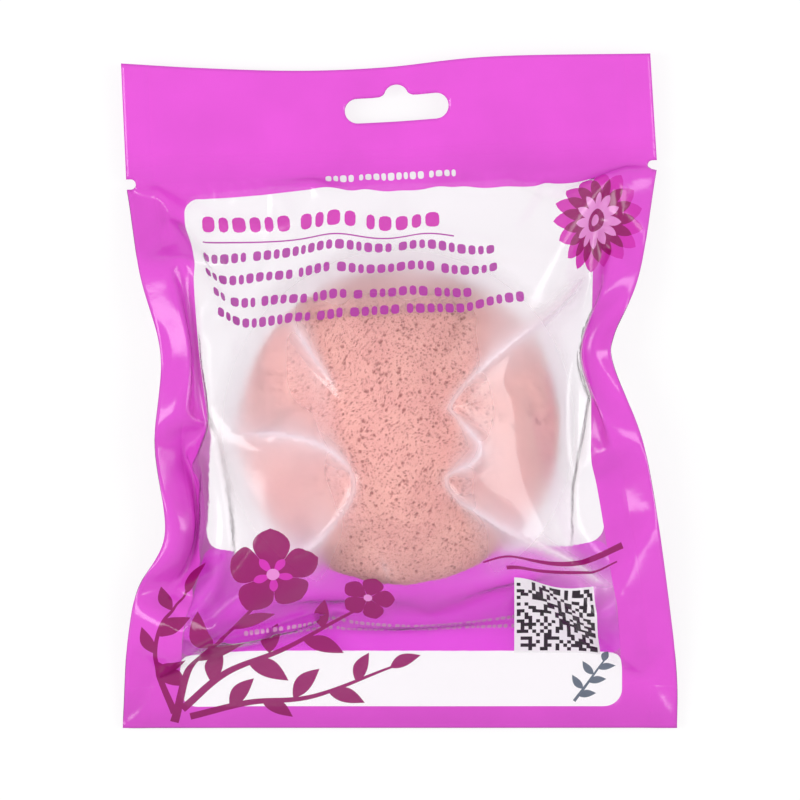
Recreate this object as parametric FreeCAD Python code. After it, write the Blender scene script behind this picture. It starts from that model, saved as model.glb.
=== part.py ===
import FreeCAD, Part
import math
import os

# Konjac sponge half ball sealed in a flat film pouch, lying on its back, millimetres.
# +Z comes out of the front film, +Y runs to the header with the hang slot, +X to the right.
# The origin is on the table, under the middle of the pouch.

# Sponge: a flattened half ball with a short upright rim and a rounded lower edge
SPONGE_DIAMETER = 80.0
SPONGE_HEIGHT = 27.0
SPONGE_RIM_HEIGHT = 6.0
SPONGE_EDGE_RADIUS = 4.0
SPONGE_CROWN_SHARE = 1.1
SPONGE_TRAVEL = 4.0
SPONGE_CLEARANCE = 0.4

# Film webs and the bands where they are welded together
FILM = 0.15
WELD_CLEARANCE = 0.2
SIDE_SEAL = 7.0
BOTTOM_SEAL = 11.0

# Room left between the sponge's rim and the pouch's edges
CORNER_ROOM = 30.0
BELOW_SPONGE = 36.0
ABOVE_SPONGE = 23.0

# How far the filled pouch draws its side edges in and lifts its side seals
WAIST_DRAW = 17.0
SEAL_RISE = 12.0
FOLD_HEIGHT = 8.0
FOLD_EASE = 1.2

# Tear-off header, with the wave of its top edge
HEADER_LENGTH = 29.25
HEADER_DRAW = 7.0
TEAR_TILT = 5.0
TOP_TILT = 2.5
TOP_DIP = 2.8
TOP_WAVE = 2.0
FOLD_GAP = 1.1

# Hang slot with its middle bump, and the two tear notches
SLOT_LENGTH = 26.25
SLOT_WIDTH = 6.75
SLOT_BUMP_RADIUS = 3.2
SLOT_BUMP_REACH = 3.4
SLOT_BELOW_TOP = 13.0
NOTCH_WIDTH = 2.6
NOTCH_DEPTH = 2.5
CUT_OVERRUN = 5.0

# Stations up the sides, as shares of the body's length above the bottom edge.
# The first and last stations are the bottom seal and the tear line.
STATION_SHARES = (0.216, 0.288, 0.353, 0.511, 0.680, 0.813)
# Draw-in of the left and right edges, and lift of the seals, from the bottom edge to the tear line
LEFT_DRAW_SHARES = (0.01, 0.06, 0.17, 0.41, 0.68, 0.52, 0.61, 0.31, 0.08)
RIGHT_DRAW_SHARES = (0.01, 0.02, 0.14, 0.22, 0.29, 0.53, 1.00, 0.59, 0.31)
SEAL_RISE_SHARES = (0.22, 0.30, 0.62, 0.78, 0.90, 1.00, 1.00, 0.75, 0.38)
# Main folds of the front film, round the sponge from the right edge: where each lies, as a share of a
# turn, and how far it stands out of the taut film, or hollows it, as a share of the fold's height
FOLD_SHARES = (
    (0.0, -0.8),
    (0.07, 0.0),
    (0.13, 0.7),
    (0.18, -0.35),
    (0.22, 0.05),
    (0.29, -0.35),
    (0.33, 0.0),
    (0.39, -1.0),
    (0.44, -0.6),
    (0.49, 0.3),
    (0.53, 0.5),
    (0.59, 0.1),
    (0.635, 0.5),
    (0.69, -0.7),
    (0.84, -0.9),
    (0.885, 0.5),
    (0.94, -0.4),
)
# How closely a hollow follows the sponge's shoulder, and the grid that shapes the front film
CLING_SHARE = 0.75
FILM_ROWS = 27
FILM_COLUMNS = 25
# Top edge of the header, as shares of its width, of its dip and of its wave
TOP_EDGE_SHARES = (
    (0.0, 0.0, 0.5),
    (0.15, 0.4, 0.0),
    (0.33, 1.0, -0.6),
    (0.5, 0.75, 0.0),
    (0.7, 0.1, 1.0),
    (1.0, 0.0, 0.6),
)

V = FreeCAD.Vector
UP = V(0, 0, 1)

POUCH_WIDTH = SPONGE_DIAMETER + 2 * CORNER_ROOM
BODY_LENGTH = BELOW_SPONGE + SPONGE_DIAMETER + ABOVE_SPONGE
POUCH_LENGTH = BODY_LENGTH + HEADER_LENGTH + TOP_TILT / 2
BOTTOM_Y = -POUCH_LENGTH / 2
TEAR_Y = BOTTOM_Y + BODY_LENGTH
SPONGE_Y = BOTTOM_Y + BELOW_SPONGE + SPONGE_DIAMETER / 2
SPONGE_BASE = FILM + SPONGE_CLEARANCE
SPONGE_RADIUS = SPONGE_DIAMETER / 2
FLOOR_RADIUS = SPONGE_RADIUS + SPONGE_TRAVEL
TEAR_Z = SEAL_RISE_SHARES[-1] * SEAL_RISE
TEAR_ANGLE = math.degrees(math.atan2(TEAR_TILT, POUCH_WIDTH))

# Sponge's profile: a flat crown arc that runs into a rounder shoulder arc above the rim
CROWN_RISE = SPONGE_HEIGHT - SPONGE_RIM_HEIGHT
CROWN_ARC = SPONGE_CROWN_SHARE * (SPONGE_RADIUS ** 2 + CROWN_RISE ** 2) / (2 * CROWN_RISE)
CROWN_OVERSHOOT = 2 * CROWN_ARC * CROWN_RISE - CROWN_RISE ** 2 - SPONGE_RADIUS ** 2
SHOULDER_ARC = CROWN_OVERSHOOT / (2 * CROWN_ARC - 2 * SPONGE_RADIUS)
CROWN_CENTRE = V(0, 0, SPONGE_BASE + SPONGE_HEIGHT - CROWN_ARC)
SHOULDER_CENTRE = V(SPONGE_RADIUS - SHOULDER_ARC, 0, SPONGE_BASE + SPONGE_RIM_HEIGHT)
SHOULDER_ANGLE = math.atan2(SHOULDER_CENTRE.z - CROWN_CENTRE.z, SHOULDER_CENTRE.x)


def spline(points):
    curve = Part.BSplineCurve()
    curve.interpolate(points)
    return curve.toShape()


def even_curve(points):
    """Curve through points that count as evenly spaced along it."""
    curve = Part.BSplineCurve()
    curve.interpolate(Points=points, Parameters=[float(index) for index in range(len(points))])
    return curve


def skin(rows):
    """Smooth surface through a grid of points: curves along the rows, then through their poles."""
    across = [even_curve(row) for row in rows]
    along = [even_curve(poles) for poles in zip(*[curve.getPoles() for curve in across])]
    surface = Part.BSplineSurface()
    surface.buildFromPolesMultsKnots(
        [curve.getPoles() for curve in along],
        across[0].getMultiplicities(), along[0].getMultiplicities(),
        across[0].getKnots(), along[0].getKnots(),
        False, False, across[0].Degree, along[0].Degree,
    )
    return surface.toShape()


def line(start, end):
    return Part.LineSegment(start, end).toShape()


def polar(centre, radius, angle):
    """Point at an angle above the horizontal, in the plane of the sponge's profile."""
    return centre + V(math.cos(angle), 0, math.sin(angle)) * radius


def between(start, end, share):
    return start + (end - start) * share


def side_edges():
    """Left and right edges of the pouch's body, one point per station on the middle of the seal."""
    heights = [BOTTOM_SEAL] + [share * BODY_LENGTH for share in STATION_SHARES]
    left = []
    right = []
    for row, height in enumerate([0.0] + heights + [BODY_LENGTH]):
        tilt = TEAR_TILT / 2 if height == BODY_LENGTH else 0.0
        half = POUCH_WIDTH / 2
        y = BOTTOM_Y + height
        z = SEAL_RISE_SHARES[row] * SEAL_RISE
        left.append(V(LEFT_DRAW_SHARES[row] * WAIST_DRAW - half, y - tilt, z))
        right.append(V(half - RIGHT_DRAW_SHARES[row] * WAIST_DRAW, y + tilt, z))
    return left, right


LEFT, RIGHT = side_edges()
INWARD = V(SIDE_SEAL, 0, 0)
FOLD_HALF = V(0, FOLD_GAP / 2, 0)
LEFT_INNER = [point + INWARD for point in LEFT[1:]]
RIGHT_INNER = [point - INWARD for point in RIGHT[1:]]


def thicken(face, below, above):
    """Film of the given reach below and above a surface."""
    return face.translated(UP * -below).extrude(UP * (below + above))


def notch(tip, outward):
    """Cutter for a tear notch: a slot with a round end, open to the pouch's edge."""
    radius = NOTCH_WIDTH / 2
    start = tip - UP * CUT_OVERRUN
    height = 2 * CUT_OVERRUN
    centre = start - V(outward * (NOTCH_DEPTH - radius), 0, 0)
    end = Part.makeCylinder(radius, height, centre)
    mouth = Part.makeBox(NOTCH_DEPTH, NOTCH_WIDTH, height)
    mouth.translate(centre - V(0 if outward > 0 else NOTCH_DEPTH, radius, 0))
    return end.fuse(mouth).removeSplitter()


def notches():
    return notch(LEFT[-1], -1).fuse(notch(RIGHT[-1], 1))


def konjac_sponge():
    """Turned profile: flat base, round lower edge, upright rim, then a shoulder arc and a flatter crown arc."""
    edge = SPONGE_EDGE_RADIUS
    base = V(0, 0, SPONGE_BASE)
    top = V(0, 0, SPONGE_BASE + SPONGE_HEIGHT)
    rim = V(SPONGE_RADIUS, 0, SHOULDER_CENTRE.z)
    edge_centre = V(SPONGE_RADIUS - edge, 0, SPONGE_BASE + edge)
    join = polar(CROWN_CENTRE, CROWN_ARC, SHOULDER_ANGLE)
    lowest = edge_centre - UP * edge
    outermost = edge_centre + V(edge, 0, 0)
    outline = Part.Wire([
        line(base, lowest),
        Part.Arc(lowest, polar(edge_centre, edge, -math.pi / 4), outermost).toShape(),
        line(outermost, rim),
        Part.Arc(rim, polar(SHOULDER_CENTRE, SHOULDER_ARC, SHOULDER_ANGLE / 2), join).toShape(),
        Part.Arc(join, polar(CROWN_CENTRE, CROWN_ARC, (SHOULDER_ANGLE + math.pi / 2) / 2), top).toShape(),
        line(top, base),
    ])
    solid = Part.Face(outline).revolve(V(0, 0, 0), UP, 360)
    solid.translate(V(0, SPONGE_Y, 0))
    return solid


def over_sponge(reach):
    """Height of film that lies on the sponge at a distance from its axis."""
    crown = CROWN_ARC + SPONGE_CLEARANCE
    if reach <= crown * math.cos(SHOULDER_ANGLE):
        return CROWN_CENTRE.z + math.sqrt(crown ** 2 - reach ** 2)
    shoulder = SHOULDER_ARC + SPONGE_CLEARANCE
    across = min(reach - SHOULDER_CENTRE.x, shoulder)
    return SHOULDER_CENTRE.z + math.sqrt(shoulder ** 2 - across ** 2)


def climb(reach, height, centre, radius):
    """Angle of the line that climbs from an edge point and just touches an arc of the profile."""
    along = reach - centre.x
    up = centre.z - height
    return math.atan2(up, along) + math.asin(min(1.0, radius / math.hypot(along, up)))


def taut_line(edge_reach, edge_height):
    """Angle of film pulled straight from its edge to the sponge, and the reach at which it touches."""
    radius = CROWN_ARC + SPONGE_CLEARANCE
    angle = climb(edge_reach, edge_height, CROWN_CENTRE, radius)
    if math.pi / 2 - angle >= SHOULDER_ANGLE:
        return angle, radius * math.sin(angle)
    radius = SHOULDER_ARC + SPONGE_CLEARANCE
    angle = climb(edge_reach, edge_height, SHOULDER_CENTRE, radius)
    return angle, SHOULDER_CENTRE.x + radius * math.sin(angle)


def fold_share(turn):
    """Height of the main folds at a share of a turn, eased from one fold to the next."""
    folds = FOLD_SHARES + ((FOLD_SHARES[0][0] + 1.0, FOLD_SHARES[0][1]),)
    for (start, low), (end, high) in zip(folds, folds[1:]):
        if start <= turn <= end:
            return low + (high - low) * (1 - math.cos(math.pi * (turn - start) / (end - start))) / 2


def edge_hit(centre, way, border):
    """Distance and height at which a level ray from a centre meets the film's border."""
    for start, end in zip(border, border[1:]):
        before = (start - centre).cross(way).z
        after = (end - centre).cross(way).z
        if before * after <= 0 and before != after:
            hit = between(start, end, before / (before - after))
            reach = (hit - centre).dot(way)
            if reach > 0:
                return reach, hit.z


def film_height(point, border):
    """Height of the front film: on the sponge, wherever it may shift to, or taut and folded beside it.

    Beside the sponge the film is the higher of the folded taut line and the sponge's shoulder, eased
    into one another.
    """
    shift = max(-SPONGE_TRAVEL, min(SPONGE_TRAVEL, point.y - SPONGE_Y))
    centre = V(0, SPONGE_Y + shift, 0)
    way = V(point.x, point.y - centre.y, 0)
    reach = way.Length
    if reach == 0:
        return over_sponge(reach)
    way.normalize()
    edge_reach, edge_height = edge_hit(centre, way, border)
    angle, touch_reach = taut_line(edge_reach, edge_height)
    if reach <= touch_reach:
        return over_sponge(reach)
    turn = math.atan2(way.y, way.x) / (2 * math.pi) % 1.0
    outward = min(1.0, (reach - touch_reach) / (edge_reach - touch_reach))
    swell = math.sin(math.pi * outward)
    taut = edge_height + math.tan(angle) * (edge_reach - reach) + FOLD_HEIGHT * fold_share(turn) * swell
    cling = over_sponge(between(touch_reach, reach, CLING_SHARE))
    return (taut + cling) / 2 + math.hypot((taut - cling) / 2, FOLD_EASE * swell)


def film_edges(drop):
    """Left and right edges of a film's body, just inside the seals and lowered by a drop."""
    left = [point + V(WELD_CLEARANCE, 0, -drop) for point in LEFT_INNER]
    right = [point - V(WELD_CLEARANCE, 0, drop) for point in RIGHT_INNER]
    weld = V(0, WELD_CLEARANCE, 0)
    for edge in (left, right):
        edge[0] += weld
        edge[-1] -= FOLD_HALF
    return left, right


def front_film():
    """A surface pulled from the seals over the sponge, with its main folds, thickened."""
    left, right = film_edges(-WELD_CLEARANCE)
    left_points = spline(left).discretize(Number=FILM_ROWS)
    right_points = spline(right).discretize(Number=FILM_ROWS)
    border = left_points + right_points[::-1] + left_points[:1]
    rows = []
    for row in range(FILM_ROWS):
        points = []
        for column in range(FILM_COLUMNS):
            point = between(left_points[row], right_points[row], column / (FILM_COLUMNS - 1))
            inside = 0 < row < FILM_ROWS - 1 and 0 < column < FILM_COLUMNS - 1
            height = film_height(point, border) if inside else point.z
            points.append(V(point.x, point.y, height))
        rows.append(points)
    return thicken(skin(rows), 0.0, FILM)


def back_film():
    """A flat floor under the sponge and a flank that climbs to the seals."""
    centre = V(0, SPONGE_Y, 0)
    left, right = film_edges(FILM)
    rim = [spline(left[::-1]), line(left[0], right[0]), spline(right), line(right[-1], left[-1])]
    corners = [left[-1], left[0], right[0], right[-1], left[-1]]
    angles = [math.atan2(point.y - centre.y, point.x - centre.x) for point in corners]
    floor = Part.Circle(centre, UP, FLOOR_RADIUS)
    film = thicken(Part.Face(Part.Wire(floor.toShape())), 0.0, FILM)
    for index, edge in enumerate(rim):
        start = angles[index]
        end = angles[index + 1]
        if end < start:
            end += 2 * math.pi
        arc = Part.ArcOfCircle(floor, start, end).toShape()
        film = film.fuse(thicken(Part.makeRuledSurface(arc, edge), 0.0, FILM))
    return film.removeSplitter()


def side_seal(outer, inner):
    """Welded band between an outer and an inner edge, from the bottom seal to the tear line."""
    edges = []
    for points in (outer, inner):
        edges.append(spline(points[:-1] + [points[-1] - FOLD_HALF]))
    return thicken(Part.makeRuledSurface(*edges), FILM, FILM).cut(notches())


def left_side_seal():
    return side_seal(LEFT[1:], LEFT_INNER)


def right_side_seal():
    return side_seal(RIGHT[1:], RIGHT_INNER)


def bottom_seal():
    band = Part.makeRuledSurface(line(LEFT[0], RIGHT[0]), line(LEFT[1], RIGHT[1]))
    return thicken(band, FILM, FILM)


def hang_slot():
    """Cutter for the hang slot: a long slot with round ends and a bump above its middle."""
    height = 2 * CUT_OVERRUN
    radius = SLOT_WIDTH / 2
    half = SLOT_LENGTH / 2 - radius
    slot = Part.makeBox(2 * half, SLOT_WIDTH, height, V(-half, -radius, 0))
    for side in (-half, half):
        slot = slot.fuse(Part.makeCylinder(radius, height, V(side, 0, 0)))
    slot = slot.fuse(Part.makeCylinder(SLOT_BUMP_RADIUS, height, V(0, SLOT_BUMP_REACH, 0)))
    slot = slot.removeSplitter()
    slot.rotate(V(0, 0, 0), UP, TEAR_ANGLE)
    slot.translate(V(0, TEAR_Y + HEADER_LENGTH - SLOT_BELOW_TOP, TEAR_Z - CUT_OVERRUN))
    return slot


def tear_off_header():
    """Welded strip above the tear line, with a top edge that dips and waves."""
    half = POUCH_WIDTH / 2
    left = V(-half, TEAR_Y + HEADER_LENGTH - TOP_TILT / 2, TEAR_Z)
    right = V(half - HEADER_DRAW, TEAR_Y + HEADER_LENGTH + TOP_TILT / 2, TEAR_Z)
    top = []
    for across, dip, wave in TOP_EDGE_SHARES:
        top.append(between(left, right, across) + V(0, -dip * TOP_DIP, wave * TOP_WAVE))
    strip = Part.makeRuledSurface(line(LEFT[-1] + FOLD_HALF, RIGHT[-1] + FOLD_HALF), spline(top))
    return thicken(strip, FILM, FILM).cut(hang_slot().fuse(notches()))


NODES = {
    "konjac_sponge": konjac_sponge,
    "front_film": front_film,
    "back_film": back_film,
    "left_side_seal": left_side_seal,
    "right_side_seal": right_side_seal,
    "bottom_seal": bottom_seal,
    "tear_off_header": tear_off_header,
}

os.makedirs("parts", exist_ok=True)
for name, build in NODES.items():
    shape = build()
    solid = shape.Solids[0] if len(shape.Solids) == 1 else shape
    solid.exportStep("parts/" + name + ".step")
    print(name, len(shape.Solids), "solid", shape.isValid(), round(shape.Volume, 1), "mm3", shape.BoundBox)
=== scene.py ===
import math

import bpy
import numpy as np
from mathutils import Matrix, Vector
from mathutils.geometry import delaunay_2d_cdt
from mathutils.kdtree import KDTree
from numpy.linalg import norm


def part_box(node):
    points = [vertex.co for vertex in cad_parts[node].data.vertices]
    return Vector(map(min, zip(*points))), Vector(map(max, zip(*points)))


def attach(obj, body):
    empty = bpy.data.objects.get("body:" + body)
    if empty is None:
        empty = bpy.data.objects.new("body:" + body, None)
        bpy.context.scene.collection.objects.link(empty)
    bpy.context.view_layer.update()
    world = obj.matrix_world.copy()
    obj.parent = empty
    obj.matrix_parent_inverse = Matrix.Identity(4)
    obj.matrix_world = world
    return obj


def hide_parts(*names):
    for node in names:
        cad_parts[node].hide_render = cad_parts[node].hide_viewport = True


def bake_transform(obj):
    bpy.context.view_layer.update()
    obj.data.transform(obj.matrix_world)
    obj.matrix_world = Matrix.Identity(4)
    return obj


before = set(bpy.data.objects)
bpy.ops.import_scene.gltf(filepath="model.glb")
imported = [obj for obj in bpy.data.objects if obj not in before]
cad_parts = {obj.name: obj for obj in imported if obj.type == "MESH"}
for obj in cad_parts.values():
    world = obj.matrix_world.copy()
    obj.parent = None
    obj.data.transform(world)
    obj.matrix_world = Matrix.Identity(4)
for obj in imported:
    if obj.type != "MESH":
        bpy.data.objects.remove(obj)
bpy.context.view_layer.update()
SCENE = bpy.context.scene

# A konjac sponge in its film pouch. Lengths are in millimetres until a mesh is made.
MM = 0.001
METRE = 1000.0

# Flat film web and its grid: the header's rows lie above the tear line
FILM_WIDTH = 140.0
FILM_LENGTH = 180.0
COLUMN_CELLS = 35
BODY_CELLS = 36
HEADER_CELLS = 7
ROW_STEP = FILM_LENGTH / (BODY_CELLS + HEADER_CELLS)
TEAR_V = BODY_CELLS * ROW_STEP
SIDE_SEAL = 7.0
BOTTOM_SEAL = 11.0
HEADER_SEAL = 25.0
# Film's thickness, each web's way out from the seam, and the least height of webs and of finished film
FILM = 0.1
WEB_OFFSET = 0.12
TABLE_GAP = 0.25
TABLE_TOUCH = 0.03
# Share of the width that the header's wave takes up, and how far below the tear line it is felt
TEAR_GATHER = 0.04
GATHER_LENGTH = 45.0
# Share of their width that the slanting side seams show from above
SEAM_SLANT = 0.93

# Outline of the filled pouch, with the height that its edges take
LEFT_EDGE = ((-69.6, -84.7, 2.6), (-68.4, -64.7, 5.2), (-65.6, -49.7, 8.2), (-58.6, -36.0, 10.4),
             (-61.1, -14.0, 12.0), (-59.6, 9.0, 12.0), (-64.9, 29.0, 9.0), (-68.6, 51.75, 4.56))
RIGHT_EDGE = ((69.8, -84.7, 2.6), (69.4, -68.5, 4.6), (64.9, -34.7, 10.4), (60.6, -12.2, 12.0),
              (53.4, 6.5, 12.0), (53.6, 14.0, 11.6), (59.9, 29.0, 9.0), (64.7, 56.75, 4.56))
TOP_EDGE = ((-69.9, 82.2, 5.6), (-49.7, 81.1, 4.6), (-25.5, 80.5, 3.4), (-3.5, 81.3, 4.6),
            (23.1, 83.9, 6.6), (62.9, 84.7, 5.8))
# Where folds start in the film as it settles over the sponge
FOLDS = (
    ((47.6, 30.2), (25.0, 10.2), (12.6, -2.2)),
    ((17.6, -27.2), (40.0, -41.0), (55.0, -49.7)),
    ((-27.4, 17.7), (-16.0, 1.5)),
    ((-8.6, -18.5), (-13.6, -29.7), (-22.4, -38.5), (-33.6, -42.2)),
    ((-45.0, -10.5), (-25.0, -11.5)),
)
FOLD_LIFT = 1.5
FOLD_WIDTH = 3.0
# Sharp creases that bound the film's touch on the sponge, on the flat film
CREASES = (
    ((55.0, 120.3), (27.0, 101.5), (14.0, 89.0), (15.5, 84.5), (20.5, 78.0), (18.5, 73.6), (12.0, 70.5),
     (14.0, 65.5), (22.0, 59.7), (41.0, 49.2), (58.0, 38.7)),
    ((-28.0, 115.1), (-21.0, 103.6), (-15.0, 94.2), (-12.0, 89.0)),
    ((-42.0, 82.7), (-26.0, 81.6), (-16.0, 77.5), (-11.0, 71.2), (-13.0, 63.8), (-22.0, 54.4), (-34.0, 50.2)),
    ((-5.0, 52.2), (-2.0, 40.8)),
)
CREASE_HEIGHT = 1.3
CREASE_WIDTH = 1.7
CREASE_TAPER = 9.0
# Waist of the patch where the film clings to the sponge, how the patch widens above and below it, its top,
# and how the film slackens away from it
CLING_HALF = 11.0
CLING_WAIST = -17.0
CLING_FLARE = 0.28
CLING_TOP = 18.0
SLACK_SHARE = 0.3
# Distance to the sponge up to which the film is clear and at which it is fully frosted, and how far outside
# the sponge's rim it clears up again
TOUCH_GAP = 1.6
FROST_GAP = 7.0
CLEAR_START = -3.0
CLEAR_END = 9.0
# Milkiness of the clear film, and what frost, the slope above the sponge, creases and slopes beside them add:
# creases add stress whitening together with a painted highlight, and the slopes beside them a painted glare
MILK_CLEAR = 0.004
MILK_FROST = 0.16
MILK_TOP = 0.2
CREASE_WHITENING_AND_HIGHLIGHT = 0.4
PAINTED_SLOPE_GLARE = 0.35
# Reach of the painted glare on the slopes at the sides and of the milk at the top, and the shares of milk and
# frost lost far away
GLARE_REACH = 4.0
TOP_REACH = 12.0
FAR_MILK = 0.95
FAR_FROST = 0.75

# Hang slot and tear notches, on the flat film
SLOT_LENGTH = 27.5
SLOT_WIDTH = 6.75
SLOT_BUMP_RADIUS = 3.2
SLOT_BUMP_REACH = 3.4
SLOT_FILLET = ((3.0, 0.0), (1.2, 0.1), (0.35, 0.5))
SLOT_FILLET_TURN = 18
SLOT_BELOW_TOP = 11.5
SLOT_U = 2.3
NOTCH_WIDTH = 2.6
NOTCH_DEPTH = 2.5

# Sponge: measured on its CAD node, with the profile's shares from the part
SPONGE_LOW, SPONGE_HIGH = (METRE * np.array(corner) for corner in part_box("konjac_sponge"))
SPONGE_CENTRE = 0.5 * (SPONGE_LOW + SPONGE_HIGH)
SPONGE_RADIUS = 0.5 * (SPONGE_HIGH[0] - SPONGE_LOW[0])
SPONGE_BASE = SPONGE_LOW[2]
SPONGE_HEIGHT = SPONGE_HIGH[2] - SPONGE_LOW[2]
SPONGE_RIM = 6.0
SPONGE_EDGE = 4.0
SPONGE_CROWN_SHARE = 1.1
SPONGE_TRAVEL = 4.0
SPONGE_CLEARANCE = 0.3


def colour(red, green, blue):
    """Linear colour of an 8-bit display colour."""
    shares = np.array((red, green, blue)) / 255.0
    linear = np.where(shares <= 0.04045, shares / 12.92, ((shares + 0.055) / 1.055) ** 2.4)
    return (*linear.tolist(), 1.0)


# The film's shape: both webs settle over the sponge as sheets that hold their flat lengths


def smooth_line(points, count=None):
    """Points on a smooth curve through the given ones, evenly spaced when a count is given."""
    points = np.array(points, float)
    ghost = np.vstack([2 * points[0] - points[1], points, 2 * points[-1] - points[-2]])
    t = np.linspace(0, 1, 24, endpoint=False)[:, None]
    fine = []
    for a, b, c, d in zip(ghost[:-3], ghost[1:-2], ghost[2:-1], ghost[3:]):
        square = 2 * a - 5 * b + 4 * c - d
        cube = 3 * b - a - 3 * c + d
        fine.append(b + 0.5 * ((c - a) * t + square * t ** 2 + cube * t ** 3))
    fine = np.vstack(fine + [points[-1:]])
    run = np.concatenate([[0], np.cumsum(norm(np.diff(fine, axis=0), axis=1))])
    even = np.linspace(0, run[-1], count or max(3, int(run[-1] / 0.8)))
    return np.stack([np.interp(even, run, axis) for axis in fine.T], axis=-1)


class Pattern:
    """Flat grid of a web's body, with its seams and the outline that the filled pouch takes."""

    def __init__(self, cells):
        self.columns = COLUMN_CELLS * cells + 1
        self.rows = BODY_CELLS * cells + 1
        self.step = (FILM_WIDTH / COLUMN_CELLS / cells, ROW_STEP / cells)
        across = (np.arange(self.columns) - COLUMN_CELLS * cells / 2) * self.step[0]
        self.u, self.v = np.meshgrid(across, np.arange(self.rows) * self.step[1])
        gather = TEAR_GATHER * np.clip((self.v - TEAR_V) / GATHER_LENGTH + 1, 0, 1) ** 2
        self.across_step = self.step[0] * (1 - gather)
        small = 0.01
        self.side_seam = np.abs(self.u) > FILM_WIDTH / 2 - SIDE_SEAL - small
        self.seam = self.side_seam | (self.v < BOTTOM_SEAL + small)
        self.left = smooth_line(LEFT_EDGE, self.rows)
        self.right = smooth_line(RIGHT_EDGE, self.rows)
        share = np.linspace(0, 1, self.columns)[:, None]
        self.bottom = self.left[0] + (self.right[0] - self.left[0]) * share
        self.tear = self.left[-1] + (self.right[-1] - self.left[-1]) * share
        inward = SEAM_SLANT * (FILM_WIDTH / 2 - np.abs(self.u))
        self.seam_x = np.where(self.u < 0, self.left[:, :1] + inward, self.right[:, :1] - inward)


def sponge_profile(share=1.0):
    """Radius of the crown and shoulder arcs, height of the crown's centre and radius of the shoulder's."""
    rim = SPONGE_BASE + SPONGE_RIM * share
    rise = (SPONGE_HEIGHT - SPONGE_RIM) * share
    crown = SPONGE_CROWN_SHARE * (SPONGE_RADIUS ** 2 + rise ** 2) / (2 * rise)
    shoulder = (2 * crown * rise - rise ** 2 - SPONGE_RADIUS ** 2) / (2 * crown - 2 * SPONGE_RADIUS)
    return rim, crown, shoulder, rim + rise - crown, SPONGE_RADIUS - shoulder


def sponge_reach(points, share, travel):
    """Offset, distance and radius of points from the arc of the sponge's profile that they face."""
    rim, crown, shoulder, low, inner = sponge_profile(share)
    x = points[..., 0] - SPONGE_CENTRE[0]
    y = points[..., 1] - SPONGE_CENTRE[1]
    y = np.sign(y) * np.maximum(np.abs(y) - travel, 0.0)
    z = points[..., 2]
    r = np.hypot(x, y) + 1e-9
    on_crown = np.arctan2(z - low, r) >= np.arctan2(rim - low, inner)
    across = r - np.where(on_crown, 0.0, inner)
    up = z - np.where(on_crown, low, np.minimum(z, rim))
    offset = np.stack([across * x / r, across * y / r, up], -1)
    return offset, np.hypot(across, up) + 1e-9, np.where(on_crown, crown, shoulder), r


def out_of_sponge(points, share):
    """Push points out of the space that the sponge takes up over its travel."""
    offset, reach, radius, r = sponge_reach(points, share, SPONGE_TRAVEL)
    inside_rim = (r < SPONGE_RADIUS + SPONGE_CLEARANCE) & (points[..., 2] > SPONGE_BASE)
    depth = np.where(inside_rim, np.maximum(radius + SPONGE_CLEARANCE - reach, 0.0), 0.0)
    points += (depth / reach)[..., None] * offset


def sponge_gap(points):
    """Distance of points to the sponge at rest."""
    _, reach, radius, r = sponge_reach(points, 1.0, 0.0)
    under = np.hypot(np.maximum(r - SPONGE_RADIUS, 0.0), SPONGE_BASE - points[..., 2])
    return np.where(points[..., 2] < SPONGE_BASE, under, np.maximum(reach - radius, 0.0))


def hold_length(webs, start, end, length, push):
    """Bring pairs of points to their flat distance: in full when apart, in part when squeezed."""
    gap = webs[end] - webs[start]
    reach = np.sqrt(np.einsum("...k,...k->...", gap, gap)) + 1e-12
    error = reach - length
    gap *= (0.5 * np.where(error > 0, 1.0, push) * error / reach)[..., None]
    webs[start] += gap
    webs[end] -= gap


def hold_shape(webs, pattern, push):
    """Hold each side and diagonal of the webs' grid cells to its flat length."""
    every = slice(None)
    step = pattern.step
    not_last = slice(None, -1)
    not_first = slice(1, None)
    diagonal = math.hypot(*step)
    for first in (0, 1):
        here = slice(first, -1, 2)
        there = slice(first + 1, None, 2)
        hold_length(webs, (every, every, here), (every, every, there), pattern.across_step[:, here], push)
        hold_length(webs, (every, here), (every, there), step[1], push)
        hold_length(webs, (every, here, not_last), (every, there, not_first), diagonal, push)
        hold_length(webs, (every, here, not_first), (every, there, not_last), diagonal, push)


def unbend(webs, stiffness):
    """Straighten each point between its neighbours, by the film's stiffness there."""
    for axis in (1, 2):
        turned = np.swapaxes(webs, 1, axis)
        share = np.swapaxes(stiffness, 0, axis - 1)[1:-1, :, None]
        bow = share * (0.5 * (turned[:, :-2] + turned[:, 2:]) - turned[:, 1:-1])
        turned[:, 1:-1] += 0.5 * bow
        turned[:, :-2] -= 0.25 * bow
        turned[:, 2:] -= 0.25 * bow


def surface_normals(webs):
    """Unit normals of webs at their grid points."""
    normal = np.cross(np.gradient(webs, axis=-2), np.gradient(webs, axis=-3))
    return normal / (norm(normal, axis=-1, keepdims=True) + 1e-12)


# Air inside, weight, stiffness of film and seams, hold on the outline, resistance to squeezing
AIR = 0.004
WEIGHT = 0.008
FILM_STIFFNESS = 0.02
SEAM_STIFFNESS = 0.5
OUTLINE_PULL = 0.25
SQUEEZE_PUSH = 0.6
# Share of the outline's hold on heights and on the side seams, and of the steps in which the sponge grows
HEIGHT_HOLD = 0.6
SEAM_HOLD = 0.3
GROW_SHARE = 0.6


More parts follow.
